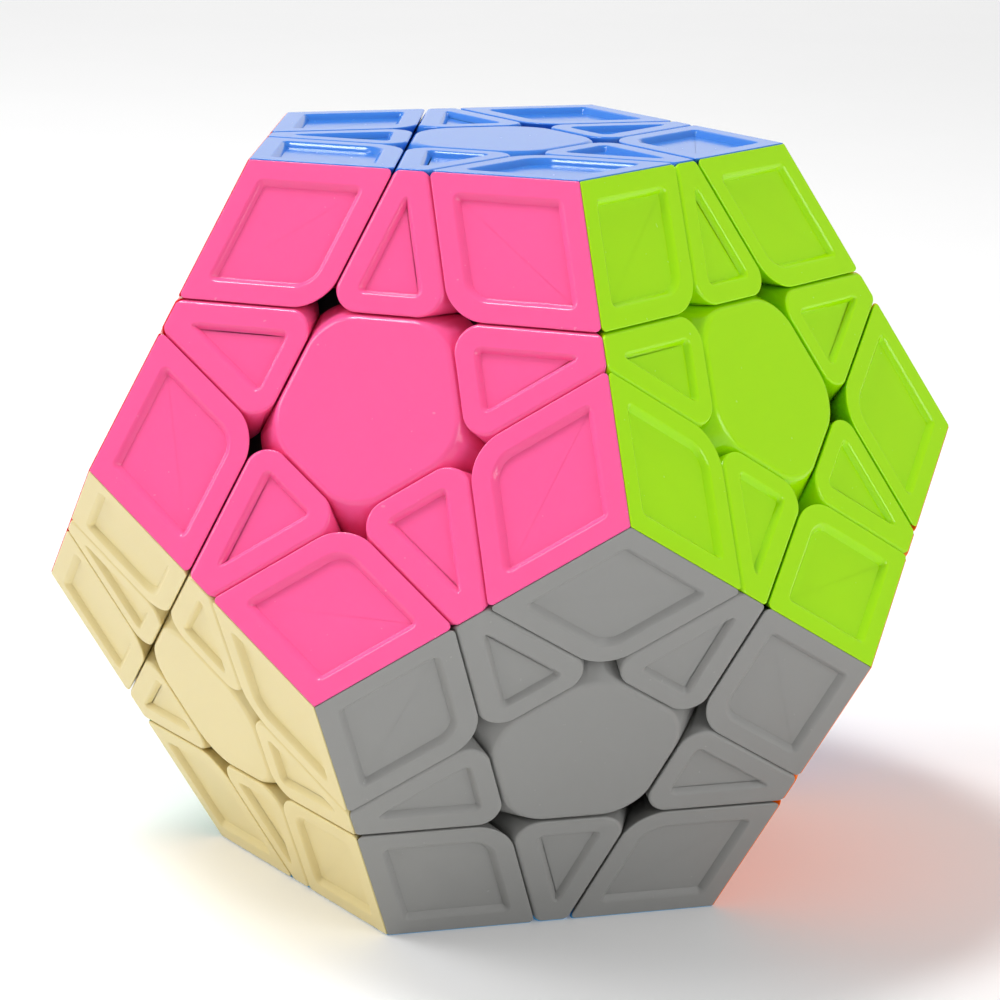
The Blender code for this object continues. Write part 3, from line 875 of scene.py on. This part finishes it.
# %% Nodes of a finish
class Finish:
    """A material whose nodes are all made by one method."""

    def __init__(self, name):
        self.material = bpy.data.materials.new(name)
        self.material.use_nodes = True
        self.tree = self.material.node_tree
        self.tree.nodes.clear()

    def node(self, kind, settings, sockets, output=0):
        """Add a node: its settings first, then values or links for its sockets."""
        node = self.tree.nodes.new("ShaderNode" + kind)
        for name, value in settings.items():
            setattr(node, name, value)
        for name, value in sockets.items():
            connect(self.tree, node.inputs[name], value)
        return Value(self.tree, node.outputs[output]) if node.outputs else None

    def place(self):
        return self.node("TexCoord", {}, {}, "Object")

    def noise(self, scale, detail):
        return self.node("TexNoise", {}, {"Vector": self.place(), "Scale": scale,
                                          "Detail": detail}, 0)

    def between(self, value, low, high):
        """Value spread from 0 to 1 between two of its levels, with soft ends."""
        return self.node("MapRange", {"interpolation_type": "SMOOTHSTEP"},
                         {"Value": value, "From Min": low, "From Max": high})

    def mix(self, factor, first, second):
        return self.node("Mix", {"data_type": "RGBA"}, {0: factor, 6: first, 7: second}, 2)


def shaded(colour, factor):
    """Colour made darker or lighter, with its alpha."""
    return (*(min(part * factor, 1) for part in colour), 1)


# %% [markdown]
# ## Moulded plastic
# The mouldings are solid coloured plastic, polished on most faces and satin on the grey and cream
# ones. What tells moulded plastic from paint is small: a faint waviness that breaks up reflections,
# a roughness that drifts, fine specks of dust and the odd hair scratch. Light also goes a little
# way in, which keeps the gaps from turning black.

# %% Moulded plastic
SHINE = 0.32                        # less than glass, as of a moulded part
LIGHT_DEPTH = 0.3                   # share of light that goes in


def moulded_plastic(name, colour, gloss, depth):
    """Coloured plastic: gloss is its roughness, and depth how far light goes in."""
    finish = Finish(name)
    drift = finish.noise(45, 3)
    ripple = finish.noise(260, 2)
    grain = finish.noise(5200, 2)
    dust = finish.between(finish.noise(2600, 0), 0.865, 0.89)
    stretched = finish.node("Mapping", {}, {"Vector": finish.place(), "Scale": (9000, 260, 2600),
                                            "Rotation": (0.5, 0.9, 0.3)})
    hairs = finish.node("TexNoise", {}, {"Vector": stretched, "Scale": 1, "Detail": 1}, 0)
    scratch = finish.between(hairs, 0.70, 0.74) * finish.between(finish.noise(90, 1), 0.5, 0.62)
    tone = finish.mix(drift, shaded(colour, 0.97), shaded(colour, 1.03))
    paint = finish.mix(dust * 0.10, tone, (0.80, 0.78, 0.74, 1))
    rough = gloss + (drift - 0.5) * 0.06 + dust * 0.25 + scratch * 0.10
    surface = ripple * 0.55 + grain * 0.05 + dust * 0.03 - scratch * 0.04
    bump = finish.node("Bump", {}, {"Strength": 1.0, "Distance": 0.000012, "Height": surface})
    skin = finish.node("BsdfPrincipled", {},
                       {"Base Color": paint, "Roughness": rough, "Normal": bump, "IOR": 1.5,
                        "Specular IOR Level": SHINE,
                        "Subsurface Weight": depth, "Subsurface Scale": 0.0006,
                        "Subsurface Radius": tuple(part ** 0.5 for part in colour)})
    finish.node("OutputMaterial", {}, {"Surface": skin})
    return finish.material


# %% [markdown]
# ## Colours
# Each face has its own colour of plastic, so each colour is one finish with its own roughness. The
# hidden feet and the spider are black plastic that is not polished and lets no light in.

# %% Colours of plastic
PLASTIC = {
    "blue": ((0.042, 0.205, 0.670), 0.13), "pink": ((0.920, 0.108, 0.318), 0.13),
    "lime": ((0.390, 0.790, 0.001), 0.13), "yellow": ((0.930, 0.740, 0.010), 0.13),
    "white": ((0.830, 0.830, 0.810), 0.22), "red": ((0.700, 0.012, 0.012), 0.13),
    "grey": ((0.270, 0.270, 0.261), 0.42), "orange": ((0.930, 0.180, 0.008), 0.13),
    "purple": ((0.190, 0.030, 0.400), 0.13), "green": ((0.005, 0.230, 0.040), 0.13),
    "cream": ((0.720, 0.605, 0.295), 0.38), "lightblue": ((0.120, 0.480, 0.830), 0.13),
}
SKINS = {}
for colour, (tint, gloss) in PLASTIC.items():
    SKINS[colour + "_plastic"] = moulded_plastic(colour + "_plastic", tint, gloss, LIGHT_DEPTH)
SKINS["core_black"] = moulded_plastic("core_black", (0.110, 0.110, 0.112), 0.5, 0.0)


# %% [markdown]
# ## Steel
# The screws and springs are plated steel. Fine noise varies the colour and the roughness, and a
# very low bump of the same noise gives the metal a grain.

# %% Plated steel
def screw_steel():
    """Zinc-plated steel with a fine grain."""
    finish = Finish("screw_steel")
    grain = finish.noise(3000, 3)
    bump = finish.node("Bump", {}, {"Strength": 0.6, "Distance": 0.00001, "Height": grain})
    metal = finish.mix(grain, (0.50, 0.50, 0.52, 1), (0.68, 0.68, 0.68, 1))
    skin = finish.node("BsdfPrincipled", {},
                       {"Base Color": metal,
                        "Metallic": 1.0, "Roughness": 0.22 + grain * 0.2, "Normal": bump})
    finish.node("OutputMaterial", {}, {"Surface": skin})
    return finish.material


SKINS["screw_steel"] = screw_steel()
print("finishes:", len(SKINS))

# %% [markdown]
# ## Putting the puzzle together
# Each master is copied to its places, and each copy has its own mesh, turned about the middle of
# the puzzle. A copy rides on the body of the CAD node that it belongs to, so a layer turns with all
# its mouldings, feet and centre. Nine centres do not turn here, and belong to the core's node.

# %% Placing the pieces
BODY_OF = {}
for body, nodes in frame["record"]["behaviour"]["bodies"].items():
    for node in nodes:
        BODY_OF[node] = body


def place(master, name, turn, node, slot, stands=True):
    """Copy of a master at its place, which rides with a CAD node and can stand for it."""
    piece = bpy.data.objects.new(name, master.data.copy())
    bpy.context.scene.collection.objects.link(piece)
    piece.data.transform(Matrix.Translation(PUZZLE_MIDDLE) @ turn.to_4x4())
    piece.data.materials.clear()
    piece.data.materials.append(SKINS[slot])
    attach(piece, BODY_OF[node])
    if stands:
        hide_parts(node)


def piece_name(kind, colours):
    """Name of a CAD node: its kind, and its colours in their fixed order."""
    return "_".join([kind, *sorted(colours, key=COLOURS.index)])


# %% [markdown]
# ## Twelve faces
# Every face is the same arrangement: five corners and five edges around a centre. So the masters
# are placed face by face, turned in fifths. A foot belongs to two or three faces and is placed only
# once, and the masters are cleared away at the end.

# %% Copies on every face
feet = set()
leave_all()
for colour in COLOURS:
    axis = NORMALS[colour]
    first = next(other for other in COLOURS if abs(NORMALS[other].dot(axis) - COS_TILT) < 1e-3)
    face = turn_to(axis, NORMALS[first])
    around = [colour_at(face @ neighbour) for neighbour in NEIGHBOURS]
    skin = colour + "_plastic"
    for number in range(5):
        turn = face @ Matrix.Rotation(number * FIFTH, 3, "Z")
        next_two = (around[number], around[(number + 1) % 5])
        corner = piece_name("corner", (colour, *next_two))
        edge = piece_name("edge", (colour, next_two[0]))
        place(CORNER_MOULDING, f"{corner}-{colour}", turn, corner, skin)
        place(EDGE_MOULDING, f"{edge}-{colour}", turn, edge, skin)
        for node, colours, master in ((corner, (colour, *next_two), CORNER_FOOT),
                                      (edge, (colour, next_two[0]), EDGE_FOOT)):
            if node in feet:
                continue
            feet.add(node)
            middle = sum((NORMALS[one] for one in colours), Vector()).normalized()
            place(master, f"{node}-foot", turn_to(middle, axis), node, "core_black")
    for kind, master, slot in (("centre_cap", CENTRE_CAP, skin), ("centre_base", CENTRE_BASE, skin),
                               ("screw", CENTRE_SCREW, "screw_steel"),
                               ("spring", SPRING, "screw_steel")):
        node = piece_name(kind, (colour,))
        name = f"{node}-centre"
        stands = node in BODY_OF
        if not stands:
            node = "core"
        place(master, name, face, node, slot, stands=stands or kind != "spring")
place(SPIDER, "spider-core", Matrix.Identity(3), "core", "core_black")
for master in (CORNER_MOULDING, EDGE_MOULDING, CENTRE_CAP, CENTRE_BASE, CENTRE_SCREW, SPRING,
               SPIDER, CORNER_FOOT, EDGE_FOOT):
    bpy.data.objects.remove(master, do_unlink=True)
shown = [item for item in bpy.data.objects if item.type == "MESH" and not item.hide_render]
triangles = sum(len(face.vertices) - 2 for item in shown for face in item.data.polygons)
print("pieces:", len(shown), "triangles:", triangles)

# %% [markdown]
# ## Floor
# The floor is a plain pale sheet, wide enough that its edge is never seen close by. It glows very
# slightly, which keeps it pale away from the lamps.

# %% Floor
leave_all()
bpy.ops.mesh.primitive_plane_add(size=12)
floor = started("floor")
bpy.ops.mesh.select_all(action="SELECT")
bpy.ops.mesh.subdivide(number_cuts=3)
bpy.ops.transform.translate(value=(0, 0, cad_box[0][2] - 0.02 * MM))
leave_all()
paper = Finish("paper")
mottle = paper.noise(20, 3)
sheet = paper.node("BsdfPrincipled", {},
                   {"Base Color": paper.mix(mottle, (0.86, 0.86, 0.86, 1), (0.88, 0.88, 0.88, 1)),
                    "Roughness": 0.9, "Emission Color": (1, 1, 1, 1), "Emission Strength": 0.11})
paper.node("OutputMaterial", {}, {"Surface": sheet})
floor.data.materials.append(paper.material)

# %% [markdown]
# ## Light
# Gloss needs something to mirror. A broad key light stands on the left. A small strong lamp above
# puts thin bright lines on the lower walls of the panels and on the rims. Two weaker lamps open the
# shadows on the right and are mirrored in the top face, and the room itself is evenly white.

# %% Light
world = bpy.data.worlds.new("room")
bpy.context.scene.world = world
world.use_nodes = True
air = world.node_tree.nodes["Background"]
air.inputs["Color"].default_value = (1, 1, 1, 1)
air.inputs["Strength"].default_value = 0.42


def soft_light(name, place, size, power):
    """Square lamp that points at the puzzle."""
    lamp = bpy.data.lights.new(name, "AREA")
    lamp.size = size
    lamp.energy = power
    stand = bpy.data.objects.new(name, lamp)
    bpy.context.scene.collection.objects.link(stand)
    stand.location = place
    stand.rotation_euler = (PUZZLE_MIDDLE - Vector(place)).to_track_quat("-Z", "Y").to_euler()
    print(f"{name}: {power} W over {size} m")


soft_light("key", (-0.62, -0.25, 0.55), 0.45, 3.2)
soft_light("top", (-0.30, -0.06, 0.80), 0.22, 3.6)
soft_light("right", (0.75, -0.30, 0.30), 0.40, 2.2)
soft_light("back", (-0.33, 0.88, 0.34), 0.80, 1.1)

# %% [markdown]
# ## Camera
# The camera looks down a little, so that the top and four sides show. A long lens from a third of a
# metre away keeps so small a thing in natural proportion.

# %% Camera
LENS = 121.2                        # mm, on a sensor 36 mm wide
SENSOR_WIDTH = 36
VIEWPOINT = Vector((0.1109, -0.2942, 0.1141))
SIGHT = Vector((-0.3406, 0.9080, -0.2440)).normalized()
ROLL = math.radians(0.61)
camera = bpy.data.objects.new("camera", bpy.data.cameras.new("camera"))
bpy.context.scene.collection.objects.link(camera)
camera.data.lens = LENS
camera.data.sensor_width = SENSOR_WIDTH
camera.data.clip_start = 0.01
looking = SIGHT.to_track_quat("-Z", "Y").to_matrix()
camera.matrix_world = (Matrix.Translation(VIEWPOINT) @ looking.to_4x4()
                       @ Matrix.Rotation(ROLL, 4, "Z"))
bpy.context.scene.camera = camera
bpy.context.scene.view_settings.view_transform = "Standard"
print(f"camera: {LENS} mm lens, {(VIEWPOINT - PUZZLE_MIDDLE).length:.3f} m away")
